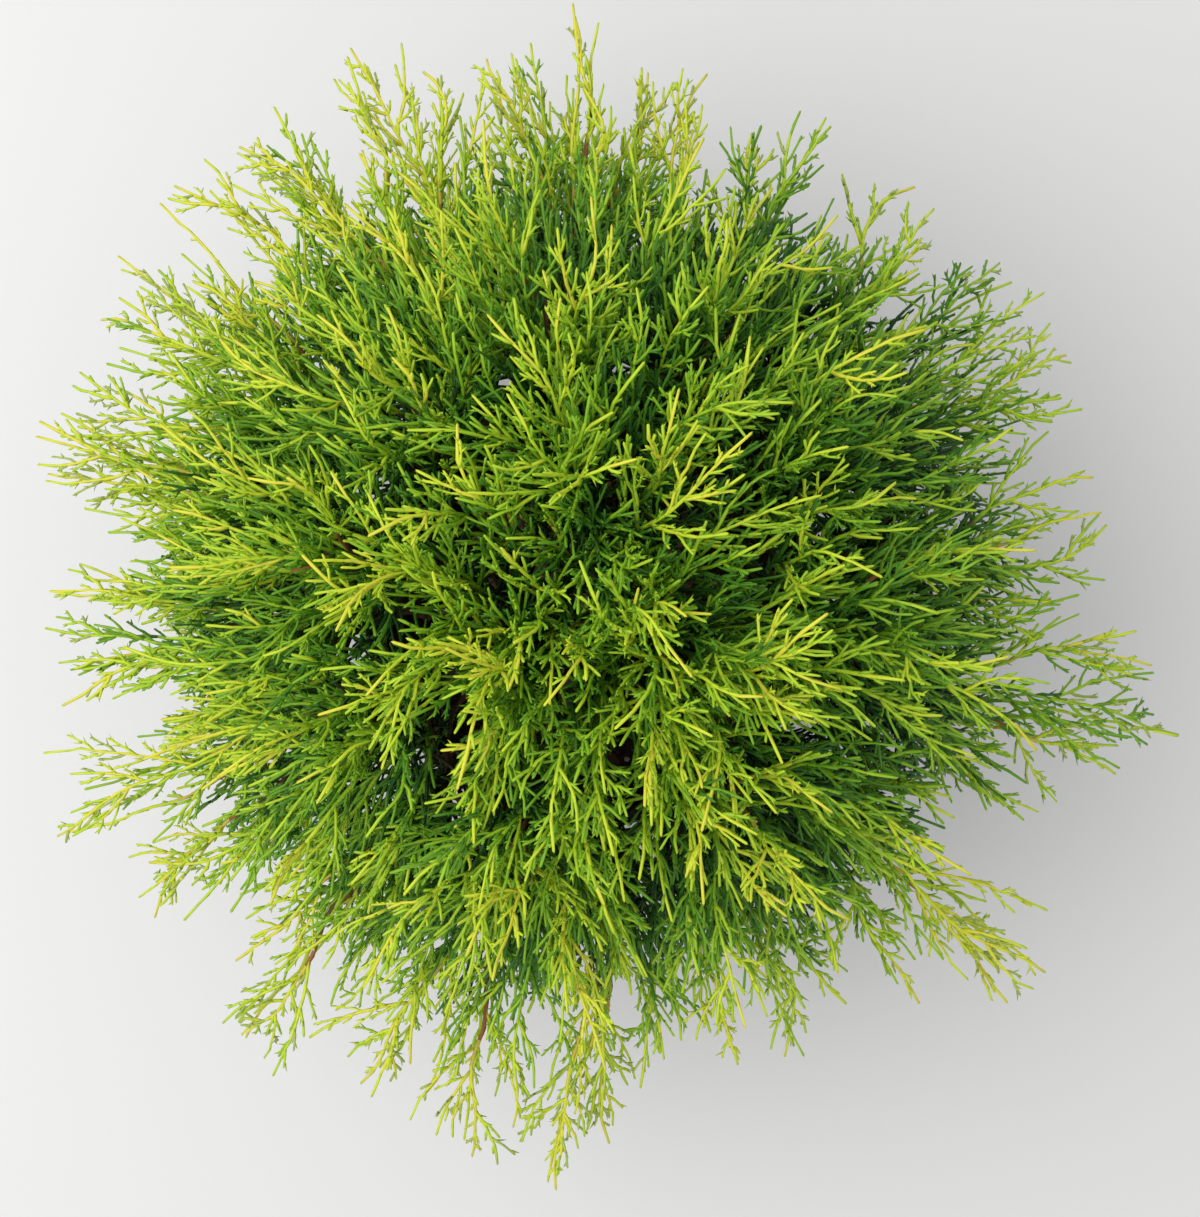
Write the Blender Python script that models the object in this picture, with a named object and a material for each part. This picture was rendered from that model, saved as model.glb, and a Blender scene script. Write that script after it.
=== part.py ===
"""Golden thread-leaved sawara cypress in a plain round nursery pot.

A dwarf, mop-shaped garden conifer about 0.46 m across and 0.42 m tall with its
pot.  Metres, +Z up.  The origin is the centre of the pot's flat underside.

The plant has a short tapered stem with a flared foot, cut flat where it meets
the soil.  One tapering bough goes from the stem to each mass of foliage.  The
masses fill the crown like the plumes of a mop: each one starts as a small flat
end where its bough enters, widens outwards, and ends in a lobed surface whose
points reach the tips of the leading shoots.
"""
import bpy
import bmesh
import math
from mathutils import Vector

# ----------------------------------------------------------------- sizes (m)
GAP = 0.0003                # clearance between touching pieces

POT_HEIGHT = 0.155
POT_BASE_R = 0.0720         # outer radius at the foot
POT_TOP_R = 0.0905          # outer radius just under the rim band
POT_RIM_R = 0.0955          # outer radius of the rim band
POT_RIM_H = 0.020
POT_WALL = 0.0020
POT_FLOOR = 0.0030
POT_SIDES = 36
DRAIN_HOLES = 6
DRAIN_R = 0.0055
DRAIN_RING_R = 0.0480

SOIL_TOP = 0.1400           # level of the soil at the wall
SOIL_CROWN = 0.0025         # how much higher it is near the stem
SOIL_SIDES = 28

STEM_FOOT_R = 0.0150        # root flare at the soil
STEM_R = 0.0098             # above the flare
STEM_TOP_R = 0.0048
STEM_FLARE_H = 0.016
STEM_TOP_Z = 0.2420
STEM_LEAN = math.radians(2.5)
STEM_LEAN_AZ = math.radians(200.0)
STEM_SIDES = 12

CROWN_Z = 0.2150            # height of the point the plumes spread from
CROWN_R_SIDE = 0.1800       # general radius of the crown at its sides
CROWN_R_TOP = 0.1860        # and at its top
DROOP = 0.0450              # how far the outer shoots hang, at 0.12 m outside
DROOP_FROM = 0.0850         # this radius
DROOP_SPAN = 0.1200

BOUGH_SIDES = 6
BOUGH_RINGS = 5
BOUGH_BASE_R = 0.0027
BOUGH_END_R = 0.0017
PLUME_END_R = 0.0075        # flat inner end of a plume
PLUME_SIDES = 16
CORNER = 3.8                # how square the plumes' outlines are (2 is round)
CELL_GAP = 0.85             # degrees kept free along each side of a plume

# The skirt: sixteen plumes round the crown, from the first azimuth to the
# second (degrees, anticlockwise from +X), with the tips of their leading
# shoots as (azimuth, reach from the axis, height).
SKIRT_INNER = 0.064
SKIRT = (
    ("skirt_e", 331.0, 356.0, ((347.0, .243, .195), (353.2, .222, .220), (341.5, .226, .180), (334.6, .199, .200))),
    ("skirt_ene", 356.0, 378.0, ((359.8, .185, .225), (368.2, .210, .195), (373.5, .203, .220))),
    ("skirt_ne_low", 18.0, 37.0, ((23.0, .202, .215), (27.1, .216, .190), (34.0, .217, .210))),
    ("skirt_ne", 37.0, 57.0, ((39.4, .211, .205), (48.6, .204, .220), (51.7, .213, .185))),
    ("skirt_nne", 57.0, 79.0, ((63.0, .209, .215), (70.6, .199, .175), (77.4, .214, .205))),
    ("skirt_n", 79.0, 105.3, ((83.8, .212, .200), (91.6, .230, .215), (96.2, .226, .190), (100.9, .215, .222))),
    ("skirt_nnw", 105.3, 131.5, ((107.7, .218, .215), (113.6, .243, .190), (122.8, .230, .218), (127.9, .228, .205))),
    ("skirt_nw", 131.5, 153.0, ((135.3, .232, .212), (144.1, .235, .195), (150.4, .229, .185))),
    ("skirt_wnw", 153.0, 172.0, ((156.1, .226, .190), (162.2, .229, .212), (167.1, .223, .200))),
    ("skirt_w", 172.0, 197.0, ((179.3, .212, .222), (183.1, .221, .190), (191.5, .215, .205))),
    ("skirt_wsw", 197.0, 220.5, ((204.1, .231, .212), (210.8, .208, .190), (216.2, .224, .165))),
    ("skirt_sw", 220.5, 241.0, ((225.6, .204, .195), (231.9, .230, .170), (238.2, .193, .205))),
    ("skirt_ssw", 241.0, 264.0, ((244.6, .218, .185), (248.9, .197, .215), (258.0, .234, .175), (261.7, .214, .200))),
    ("skirt_s", 264.0, 285.0, ((266.7, .242, .180), (272.0, .226, .165), (275.8, .199, .190), (281.6, .180, .205))),
    ("skirt_sse", 285.0, 306.0, ((287.9, .194, .200), (292.9, .204, .175), (302.3, .194, .190))),
    ("skirt_se", 306.0, 331.0, ((309.1, .209, .200), (315.9, .236, .185), (320.6, .234, .208))),
)

# The shoulder: nine plumes above the skirt, by azimuth; each tip is
# (azimuth, elevation, radius) about the crown's spreading point.
SHOULDER_INNER = 0.056
SHOULDER = (
    ("shoulder_ne", 14.0, 49.0, ((22.0, 33.0, .196), (38.4, 45.0, .207), (45.0, 32.0, .192))),
    ("shoulder_nne", 49.0, 82.0, ((57.0, 34.0, .197), (70.0, 47.0, .200), (76.0, 33.0, .203))),
    ("shoulder_n", 82.0, 115.0, ((89.7, 50.0, .208), (102.5, 34.0, .211), (110.0, 47.0, .196))),
    ("shoulder_nw", 115.0, 150.0, ((122.0, 35.0, .202), (134.0, 50.0, .204), (145.0, 36.0, .198))),
    ("shoulder_w", 150.0, 192.0, ((158.0, 36.0, .203), (176.0, 46.0, .206), (186.0, 33.0, .201))),
    ("shoulder_sw", 192.0, 232.0, ((200.0, 34.0, .205), (206.0, 48.0, .208), (224.0, 38.0, .198))),
    ("shoulder_s", 232.0, 280.0, ((240.0, 37.0, .200), (256.0, 49.0, .203), (272.0, 35.0, .206))),
    ("shoulder_se", 280.0, 333.0, ((290.0, 36.0, .201), (309.0, 47.0, .206), (324.0, 34.0, .204))),
    ("shoulder_e", 333.0, 374.0, ((341.0, 34.0, .204), (352.0, 45.0, .205), (366.0, 37.0, .199))),
)

# The top: three plumes that meet at the zenith.
TOP_INNER = 0.050
TOP = (
    ("top_n", 20.0, 140.0, ((70.0, 77.0, .204), (45.0, 68.0, .199), (112.0, 69.0, .196))),
    ("top_sw", 140.0, 260.0, ((200.0, 76.0, .199), (165.0, 68.0, .196), (236.0, 67.0, .194))),
    ("top_se", 260.0, 380.0, ((322.0, 78.0, .202), (285.0, 69.0, .196), (356.0, 67.0, .198))),
)


def skirt_floor(az):
    """Elevation (degrees) of the underside of the skirt."""
    return -29.5 + 2.0 * math.sin(math.radians(2 * az + 60))


def skirt_shoulder(az):
    """Elevation where the skirt and the shoulder meet."""
    return 24.0 + 3.5 * math.sin(math.radians(3 * az + 40))


def shoulder_top(az):
    """Elevation where the shoulder and the top meet."""
    return 59.0 + 2.5 * math.sin(math.radians(2 * az + 110))


def zenith(az):
    return 89.3


# ----------------------------------------------------------------- materials
def make_material(name, colour, roughness):
    mat = bpy.data.materials.new(name)
    mat.use_nodes = True
    shader = mat.node_tree.nodes["Principled BSDF"]
    shader.inputs["Base Color"].default_value = (*colour, 1.0)
    shader.inputs["Roughness"].default_value = roughness
    shader.inputs["Metallic"].default_value = 0.0
    mat.diffuse_color = (*colour, 1.0)
    return mat


def add_object(name, bm, material, smooth_angle=None):
    bmesh.ops.triangulate(bm, faces=bm.faces[:])
    mesh = bpy.data.meshes.new(name)
    bm.to_mesh(mesh)
    bm.free()
    mesh.materials.append(material)
    if smooth_angle is not None:
        mesh.shade_smooth()
        mesh.set_sharp_from_angle(angle=smooth_angle)
    obj = bpy.data.objects.new(name, mesh)
    bpy.context.scene.collection.objects.link(obj)
    return obj


# --------------------------------------------------------------- shape tools
def unit(az, el):
    a, e = math.radians(az), math.radians(el)
    return Vector((math.cos(e) * math.cos(a), math.cos(e) * math.sin(a), math.sin(e)))


def droop_at(reach):
    return DROOP * (max(0.0, reach - DROOP_FROM) / DROOP_SPAN) ** 2


def crown_point(direction, radius):
    """A point of the crown, with the hang of its outer shoots."""
    p = Vector((0.0, 0.0, CROWN_Z)) + direction * radius
    p.z -= droop_at(math.hypot(p.x, p.y))
    return p


def turned(profile, sides):
    """A closed solid of revolution from (radius, height) pairs, whose first
    and last points lie on the axis, outer side first from the bottom."""
    bm = bmesh.new()
    rings = []
    for radius, height in profile:
        if radius < 1e-9:
            rings.append([bm.verts.new((0.0, 0.0, height))])
        else:
            rings.append([bm.verts.new((radius * math.cos(2 * math.pi * k / sides),
                                        radius * math.sin(2 * math.pi * k / sides), height))
                          for k in range(sides)])
    for low, high in zip(rings, rings[1:]):
        for k in range(sides):
            n = (k + 1) % sides
            if len(low) == 1:
                bm.faces.new((low[0], high[n], high[k]))
            elif len(high) == 1:
                bm.faces.new((low[k], low[n], high[0]))
            else:
                bm.faces.new((low[k], low[n], high[n], high[k]))
    return bm


def crown_radius(el):
    s = max(0.0, math.sin(math.radians(el)))
    return CROWN_R_SIDE + (CROWN_R_TOP - CROWN_R_SIDE) * s * s


def unevenness(direction):
    """Slow swelling and sinking of the foliage surface."""
    x, y, z = direction
    return (0.0050 * math.sin(7.1 * x + 3.0 * z + 0.7) * math.cos(6.3 * y - 1.1)
            + 0.0035 * math.sin(13.0 * y + 9.0 * z + 2.1)
            + 0.0025 * math.cos(17.0 * x - 11.0 * y + 0.4))


RING_STEPS = (0.0, 0.34, 0.62, 0.84, 1.0)
SIDE_STEPS = ((0.72, 0.985), (0.34, 0.88))


def plume(to_direction, axis, inner, tips, groove, seed):
    """One mass of foliage.  to_direction maps a point of the unit disc to a
    direction of the plume's cell; tips are (u, v, radius) on that disc."""
    bm = bmesh.new()
    n = PLUME_SIDES

    def rim(k):
        a = 2 * math.pi * (k + 0.5 * (seed % 2)) / n
        c, s = math.cos(a), math.sin(a)
        reach = (abs(c) ** CORNER + abs(s) ** CORNER) ** (-1 / CORNER)
        wobble = 0.955 + 0.045 * math.sin(3 * a + seed * 2.4) * math.cos(2 * a + seed * 1.3)
        return c * reach * wobble, s * reach * wobble

    grid = {(0, 0): (0.0, 0.0)}
    for j, t in enumerate(RING_STEPS[1:], start=1):
        for k in range(n):
            u, v = rim(k)
            grid[(j, k)] = (u * t, v * t)
    # the grid point nearest each tip moves onto it
    taken = {}
    for u, v, radius in tips:
        key = min((g for g in grid if g[0] < len(RING_STEPS) - 1 and g not in taken),
                  key=lambda g: (grid[g][0] - u) ** 2 + (grid[g][1] - v) ** 2)
        grid[key] = (u, v)
        taken[key] = radius

    def surface(u, v, t):
        d = to_direction(u, v)
        el = math.degrees(math.asin(max(-1.0, min(1.0, d.z))))
        r = crown_radius(el) * (1.0 - groove * t ** 2.6) + unevenness(d)
        for tu, tv, radius in tips:
            r += max(0.0, radius - r) * math.exp(-((u - tu) ** 2 + (v - tv) ** 2) / 0.075)
        return d, r

    verts = {}
    for (j, k), (u, v) in grid.items():
        t = RING_STEPS[j]
        d, r = surface(u, v, t)
        if (j, k) in taken:
            r = taken[(j, k)]
        verts[(j, k)] = bm.verts.new(crown_point(d, r))
    last = len(RING_STEPS) - 1
    for k in range(n):
        m = (k + 1) % n
        bm.faces.new((verts[(0, 0)], verts[(1, k)], verts[(1, m)]))
        for j in range(1, last):
            bm.faces.new((verts[(j, k)], verts[(j + 1, k)], verts[(j + 1, m)], verts[(j, m)]))
    # the flanks, drawing in to the flat inner end
    outer = [verts[(last, k)] for k in range(n)]
    edge = [surface(*grid[(last, k)], 1.0)[1] for k in range(n)]
    for step, width in SIDE_STEPS:
        ring = []
        for k in range(n):
            u, v = grid[(last, k)]
            ring.append(bm.verts.new(crown_point(to_direction(u * width, v * width),
                                                 inner + (edge[k] - inner) * step)))
        for k in range(n):
            m = (k + 1) % n
            bm.faces.new((outer[k], ring[k], ring[m], outer[m]))
        outer = ring
    base = Vector((0.0, 0.0, CROWN_Z)) + axis * inner
    ring = []
    for k in range(n):
        u, v = grid[(last, k)]
        sideways = to_direction(u * 0.2, v * 0.2) - axis
        sideways -= axis * sideways.dot(axis)
        ring.append(bm.verts.new(base + sideways.normalized() * PLUME_END_R))
    for k in range(n):
        m = (k + 1) % n
        bm.faces.new((outer[k], ring[k], ring[m], outer[m]))
    bm.faces.new(list(reversed(ring)))
    bmesh.ops.recalc_face_normals(bm, faces=bm.faces[:])
    return bm


def band_cell(az0, az1, floor, ceiling):
    """A cell between two azimuths and two wavy levels, less the free edge."""
    az_mid = (az0 + az1) / 2
    spread = CELL_GAP / math.cos(math.radians((floor(az_mid) + 2 * ceiling(az_mid)) / 3))
    half_az = (az1 - az0) / 2 - spread

    def levels(az):
        low, high = floor(az) + CELL_GAP, ceiling(az) - CELL_GAP
        return (low + high) / 2, (high - low) / 2

    def to_direction(u, v):
        az = az_mid + half_az * u
        mid, half = levels(az)
        return unit(az, mid + half * v)

    def to_disc(az, el):
        turn = (az - az_mid + 180.0) % 360.0 - 180.0
        mid, half = levels(az_mid + turn)
        return turn / half_az, (el - mid) / half

    return to_direction, to_disc, to_direction(0.0, 0.0)


def inside(u, v, limit=0.86):
    """Keeps a tip on the open part of the disc."""
    reach = (abs(u) ** CORNER + abs(v) ** CORNER) ** (1 / CORNER)
    if reach > limit:
        u, v = u * limit / reach, v * limit / reach
    return u, v


# ------------------------------------------------------------------ the stem
def stem_axis(z):
    rise = z - SOIL_TOP
    shift = math.tan(STEM_LEAN) * rise + 0.0016 * math.sin(rise * 38.0)
    return Vector((shift * math.cos(STEM_LEAN_AZ), shift * math.sin(STEM_LEAN_AZ), z))


def stem_radius(z):
    foot = SOIL_TOP + SOIL_CROWN + GAP
    t = (z - foot) / (STEM_TOP_Z - foot)
    flare = (STEM_FOOT_R - STEM_R) * math.exp(-((z - foot) / (STEM_FLARE_H * 0.45)))
    return STEM_R + (STEM_TOP_R - STEM_R) * max(0.0, t) + flare


def build_stem(material):
    foot = SOIL_TOP + SOIL_CROWN + GAP
    heights = [foot, foot + 0.003, foot + 0.007, foot + STEM_FLARE_H]
    steps = 5
    for i in range(1, steps + 1):
        heights.append(heights[3] + (STEM_TOP_Z - heights[3]) * i / steps)
    points = [stem_axis(z) for z in heights]
    # both ends are level cuts
    points[0] = Vector((points[0].x, points[0].y, foot))

    def buttress(i, a):
        depth = 0.12 * math.exp(-i / 1.3)
        return 1.0 + depth * math.cos(5 * a + 0.6) + 0.5 * depth * math.cos(3 * a + 1.9)

    bm = bmesh.new()
    rings = []
    for i, z in enumerate(heights):
        c, r = points[i], stem_radius(z)
        rings.append([bm.verts.new((c.x + r * buttress(i, a) * math.cos(a),
                                    c.y + r * buttress(i, a) * math.sin(a), z))
                      for a in (2 * math.pi * k / STEM_SIDES for k in range(STEM_SIDES))])
    bm.faces.new(list(reversed(rings[0])))
    bm.faces.new(rings[-1])
    for low, high in zip(rings, rings[1:]):
        for k in range(STEM_SIDES):
            n = (k + 1) % STEM_SIDES
            bm.faces.new((low[k], low[n], high[n], high[k]))
    return add_object("stem", bm, material, math.radians(40))


def build_bough(name, axis, inner, leave_z, material):
    """A limb that leaves the stem almost level and rises to its plume."""
    flat = Vector((axis.x, axis.y, 0.0)).normalized()
    root = stem_axis(leave_z)
    start = root + flat * (stem_radius(leave_z - BOUGH_BASE_R) + GAP + 0.0001)
    end = Vector((0.0, 0.0, CROWN_Z)) + axis * (inner - GAP - 0.0001)
    span = (end - start).length
    first = start + (flat * 0.9 + Vector((0, 0, 0.25))).normalized() * span * 0.34
    second = end - axis * span * 0.36
    points = []
    for i in range(BOUGH_RINGS):
        t = i / (BOUGH_RINGS - 1)
        s = 1 - t
        points.append(start * s ** 3 + first * 3 * s * s * t + second * 3 * s * t * t + end * t ** 3)
    # the end faces stand square to the stem and to the plume
    radii = [BOUGH_BASE_R + (BOUGH_END_R - BOUGH_BASE_R) * i / (BOUGH_RINGS - 1) for i in range(BOUGH_RINGS)]
    bm = bmesh.new()
    rings = []
    side = None
    for i, p in enumerate(points):
        if i == 0:
            t = flat.copy()
        elif i == BOUGH_RINGS - 1:
            t = axis.copy()
        else:
            t = (points[i + 1] - points[i - 1]).normalized()
        side = Vector((-flat.y, flat.x, 0.0)) if side is None else side
        side = (side - t * side.dot(t)).normalized()
        other = t.cross(side)
        rings.append([bm.verts.new(p + side * (radii[i] * math.cos(a)) + other * (radii[i] * math.sin(a)))
                      for a in (2 * math.pi * k / BOUGH_SIDES for k in range(BOUGH_SIDES))])
    bm.faces.new(list(reversed(rings[0])))
    bm.faces.new(rings[-1])
    for low, high in zip(rings, rings[1:]):
        for k in range(BOUGH_SIDES):
            n = (k + 1) % BOUGH_SIDES
            bm.faces.new((low[k], low[n], high[n], high[k]))
    bmesh.ops.recalc_face_normals(bm, faces=bm.faces[:])
    return add_object(name, bm, material, math.radians(60))


# ------------------------------------------------------------------- the pot
def build_pot(material):
    z_band = POT_HEIGHT - POT_RIM_H
    inner_base = POT_BASE_R - POT_WALL
    inner_top = POT_TOP_R - POT_WALL
    profile = [(0.0, 0.0), (POT_BASE_R - 0.0030, 0.0), (POT_BASE_R, 0.0030),
               (POT_TOP_R, z_band), (POT_RIM_R - 0.0015, z_band + 0.0015),
               (POT_RIM_R, POT_HEIGHT - 0.0020), (POT_RIM_R - 0.0015, POT_HEIGHT),
               (POT_RIM_R - POT_WALL - 0.0010, POT_HEIGHT - 0.0010),
               (POT_RIM_R - POT_WALL - 0.0022, z_band + 0.0030), (inner_top, z_band - 0.0010),
               (inner_base, POT_FLOOR), (0.0, POT_FLOOR)]
    bm = turned(profile, POT_SIDES)
    bmesh.ops.recalc_face_normals(bm, faces=bm.faces[:])
    pot = add_object("pot", bm, material, math.radians(35))
    for i in range(DRAIN_HOLES):
        a = 2 * math.pi * (i + 0.5) / DRAIN_HOLES
        hole = bmesh.new()
        bmesh.ops.create_cone(hole, cap_ends=True, segments=10, radius1=DRAIN_R, radius2=DRAIN_R, depth=0.02)
        mesh = bpy.data.meshes.new("drain_cutter_%d" % i)
        hole.to_mesh(mesh)
        hole.free()
        cutter = bpy.data.objects.new("drain_cutter_%d" % i, mesh)
        cutter.location = (DRAIN_RING_R * math.cos(a), DRAIN_RING_R * math.sin(a), 0.0)
        cutter.rotation_euler = (0.0, 0.0, a + 0.11)
        cutter.hide_render = True
        cutter.display_type = 'WIRE'
        bpy.context.scene.collection.objects.link(cutter)
        cut = pot.modifiers.new("drain_%d" % i, 'BOOLEAN')
        cut.operation = 'DIFFERENCE'
        cut.solver = 'EXACT'
        cut.object = cutter
    return pot


def build_soil(material):
    z_band = POT_HEIGHT - POT_RIM_H
    low_r = POT_BASE_R - POT_WALL
    top_r = POT_TOP_R - POT_WALL

    def wall_r(z):
        return low_r + (top_r - low_r) * (z - POT_FLOOR) / (z_band - 0.0010 - POT_FLOOR)

    flat_r = STEM_FOOT_R + 0.006
    z_low = POT_FLOOR + GAP
    z_edge = z_band - 0.0040
    profile = [(0.0, z_low), (wall_r(z_low) - 0.0006, z_low),
               (wall_r(z_edge) - 0.0006, z_edge),
               (wall_r(z_edge) - 0.0006, SOIL_TOP - 0.0010),
               (wall_r(z_edge) - 0.0040, SOIL_TOP),
               (flat_r * 1.9, SOIL_TOP + SOIL_CROWN * 0.5),
               (flat_r, SOIL_TOP + SOIL_CROWN), (0.0, SOIL_TOP + SOIL_CROWN)]
    bm = turned(profile, SOIL_SIDES)
    bmesh.ops.recalc_face_normals(bm, faces=bm.faces[:])
    return add_object("soil", bm, material, math.radians(35))


# -------------------------------------------------------------------- build
def main():
    for obj in list(bpy.data.objects):
        bpy.data.objects.remove(obj, do_unlink=True)

    plastic = make_material("pot_plastic", (0.030, 0.032, 0.033), 0.45)
    compost = make_material("soil", (0.040, 0.026, 0.016), 0.95)
    bark = make_material("bark", (0.160, 0.082, 0.045), 0.85)
    gold = make_material("foliage_gold", (0.330, 0.370, 0.055), 0.60)
    green = make_material("foliage_green", (0.110, 0.190, 0.028), 0.60)
    lime = make_material("foliage_lime", (0.220, 0.300, 0.045), 0.60)

    build_pot(plastic)
    build_soil(compost)
    build_stem(bark)

    seed = 0
    # boughs leave the stem at stepped heights, so that neighbours in azimuth
    # do not crowd each other
    skirt_levels = (0.1580, 0.1820, 0.1700, 0.1940)
    for i, (name, az0, az1, tips) in enumerate(SKIRT):
        seed += 1
        to_direction, to_disc, axis = band_cell(az0, az1, skirt_floor, skirt_shoulder)
        marks = []
        for az, reach, height in tips:
            rise = height + droop_at(reach) - CROWN_Z
            u, v = inside(*to_disc(az, math.degrees(math.atan2(rise, reach))))
            marks.append((u, v, math.hypot(reach, rise)))
        # a hanging lower lobe under the leading shoots
        marks.append((0.35 * math.sin(seed * 2.1), -0.62, CROWN_R_SIDE + 0.008))
        bm = plume(to_direction, axis, SKIRT_INNER, marks, 0.115, seed)
        add_object("foliage_" + name, bm, (green, lime, green)[i % 3])
        build_bough("bough_" + name, axis, SKIRT_INNER, skirt_levels[i % 4], bark)

    shoulder_levels = (0.2050, 0.2135, 0.2220)
    for i, (name, az0, az1, tips) in enumerate(SHOULDER):
        seed += 1
        to_direction, to_disc, axis = band_cell(az0, az1, skirt_shoulder, shoulder_top)
        marks = [(*inside(*to_disc(az, el)), radius) for az, el, radius in tips]
        bm = plume(to_direction, axis, SHOULDER_INNER, marks, 0.095, seed)
        add_object("foliage_" + name, bm, (lime, gold)[i % 2])
        build_bough("bough_" + name, axis, SHOULDER_INNER, shoulder_levels[i % 3], bark)

    for i, (name, az0, az1, tips) in enumerate(TOP):
        seed += 1
        to_direction, to_disc, axis = band_cell(az0, az1, shoulder_top, zenith)
        marks = [(*inside(*to_disc(az, el)), radius) for az, el, radius in tips]
        bm = plume(to_direction, axis, TOP_INNER, marks, 0.080, seed)
        add_object("foliage_" + name, bm, gold)
        build_bough("bough_" + name, axis, TOP_INNER, 0.2300 + 0.0035 * i, bark)


main()
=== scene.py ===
"""Looks of a potted dwarf golden thread-leaved sawara cypress.

Foliage grows by one seeded branching rule: a limb runs on from each bough into
its plume, leading shoots leave it for the surface of the crown, and each bears
alternate side shoots, branchlets and short buds, all thin cords of pressed
scale leaves.  Metres, +Z up.
"""
import bpy
import math
import numpy as np
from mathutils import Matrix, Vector, noise


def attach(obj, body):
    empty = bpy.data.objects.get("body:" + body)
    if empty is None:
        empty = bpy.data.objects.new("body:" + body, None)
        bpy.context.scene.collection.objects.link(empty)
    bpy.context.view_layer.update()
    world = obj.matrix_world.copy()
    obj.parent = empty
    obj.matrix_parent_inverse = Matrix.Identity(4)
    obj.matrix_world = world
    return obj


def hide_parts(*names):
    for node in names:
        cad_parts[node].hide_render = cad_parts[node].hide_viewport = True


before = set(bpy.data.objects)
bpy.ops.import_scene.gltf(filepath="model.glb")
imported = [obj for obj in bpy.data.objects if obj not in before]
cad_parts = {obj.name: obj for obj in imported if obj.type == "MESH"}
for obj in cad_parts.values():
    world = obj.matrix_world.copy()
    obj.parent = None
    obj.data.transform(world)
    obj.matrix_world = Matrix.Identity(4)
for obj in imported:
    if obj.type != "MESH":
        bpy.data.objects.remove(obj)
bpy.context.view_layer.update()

SEED = 20417
rng = np.random.default_rng(SEED)

# ------------------------------------------------------------------ the view
CAM_X, CAM_Y, CAM_Z = 0.0038, -0.0040, 1.20
FOCAL_PX = 2500.0
FRAME_W, FRAME_H = 1200.0, 1217.0

cam_data = bpy.data.cameras.new("camera")
cam_data.sensor_fit = 'AUTO'
cam_data.sensor_width = 36.0
cam_data.lens = 36.0 * FOCAL_PX / FRAME_H
cam_data.clip_start = 0.01
cam_data.clip_end = 200.0
camera = bpy.data.objects.new("camera", cam_data)
camera.location = (CAM_X, CAM_Y, CAM_Z)
camera.rotation_euler = (0.0, 0.0, 0.0)
bpy.context.scene.collection.objects.link(camera)
bpy.context.scene.camera = camera
bpy.context.scene.view_settings.view_transform = 'Standard'
bpy.context.scene.view_settings.look = 'None'
bpy.context.scene.view_settings.exposure = 0.0
bpy.context.scene.view_settings.gamma = 1.0


# ----------------------------------------------------------------- materials
def principled(name, colour, roughness, specular=0.5, **extra):
    mat = bpy.data.materials.new(name)
    mat.use_nodes = True
    shader = mat.node_tree.nodes["Principled BSDF"]
    shader.inputs["Base Color"].default_value = (*colour, 1.0)
    shader.inputs["Roughness"].default_value = roughness
    shader.inputs["Specular IOR Level"].default_value = specular
    for key, value in extra.items():
        shader.inputs[key].default_value = value
    mat.diffuse_color = (*colour, 1.0)
    return mat


class Nodes:
    """Short hand for building a node tree."""

    def __init__(self, mat):
        self.tree = mat.node_tree
        self.shader = mat.node_tree.nodes["Principled BSDF"]
        self.coords = self.add("ShaderNodeTexCoord").outputs["Object"]

    def add(self, kind, **props):
        node = self.tree.nodes.new(kind)
        for key, value in props.items():
            setattr(node, key, value)
        return node

    def link(self, a, b):
        self.tree.links.new(a, b)

    def noise(self, scale, detail=4.0, rough=0.55, stretch=None, distortion=0.0):
        node = self.add("ShaderNodeTexNoise")
        node.inputs["Scale"].default_value = scale
        node.inputs["Detail"].default_value = detail
        node.inputs["Roughness"].default_value = rough
        node.inputs["Distortion"].default_value = distortion
        source = self.coords
        if stretch is not None:
            mapping = self.add("ShaderNodeMapping")
            mapping.inputs["Scale"].default_value = stretch
            self.link(self.coords, mapping.inputs["Vector"])
            source = mapping.outputs["Vector"]
        self.link(source, node.inputs["Vector"])
        return node.outputs["Fac"]

    def voronoi(self, scale, feature='F1', stretch=None):
        node = self.add("ShaderNodeTexVoronoi", feature=feature)
        node.inputs["Scale"].default_value = scale
        source = self.coords
        if stretch is not None:
            mapping = self.add("ShaderNodeMapping")
            mapping.inputs["Scale"].default_value = stretch
            self.link(self.coords, mapping.inputs["Vector"])
            source = mapping.outputs["Vector"]
        self.link(source, node.inputs["Vector"])
        return node

    def ramp(self, fac, stops):
        node = self.add("ShaderNodeValToRGB")
        ramp = node.color_ramp
        while len(ramp.elements) < len(stops):
            ramp.elements.new(0.5)
        for element, (pos, colour) in zip(ramp.elements, stops):
            element.position = pos
            if isinstance(colour, (int, float)):
                colour = (colour, colour, colour)
            element.color = (*colour, 1.0)
        self.link(fac, node.inputs["Fac"])
        return node.outputs["Color"]

    def mix(self, fac, a, b, blend='MIX'):
        node = self.add("ShaderNodeMix", data_type='RGBA', blend_type=blend)
        for value, socket in ((fac, node.inputs[0]), (a, node.inputs[6]), (b, node.inputs[7])):
            if isinstance(value, (int, float)):
                socket.default_value = value
            elif isinstance(value, tuple):
                socket.default_value = (*value, 1.0)
            else:
                self.link(value, socket)
        return node.outputs[2]

    def bump(self, height, strength, distance, below=None):
        node = self.add("ShaderNodeBump")
        node.inputs["Strength"].default_value = strength
        node.inputs["Distance"].default_value = distance
        self.link(height, node.inputs["Height"])
        if below is not None:
            self.link(below, node.inputs["Normal"])
        return node.outputs["Normal"]


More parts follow.
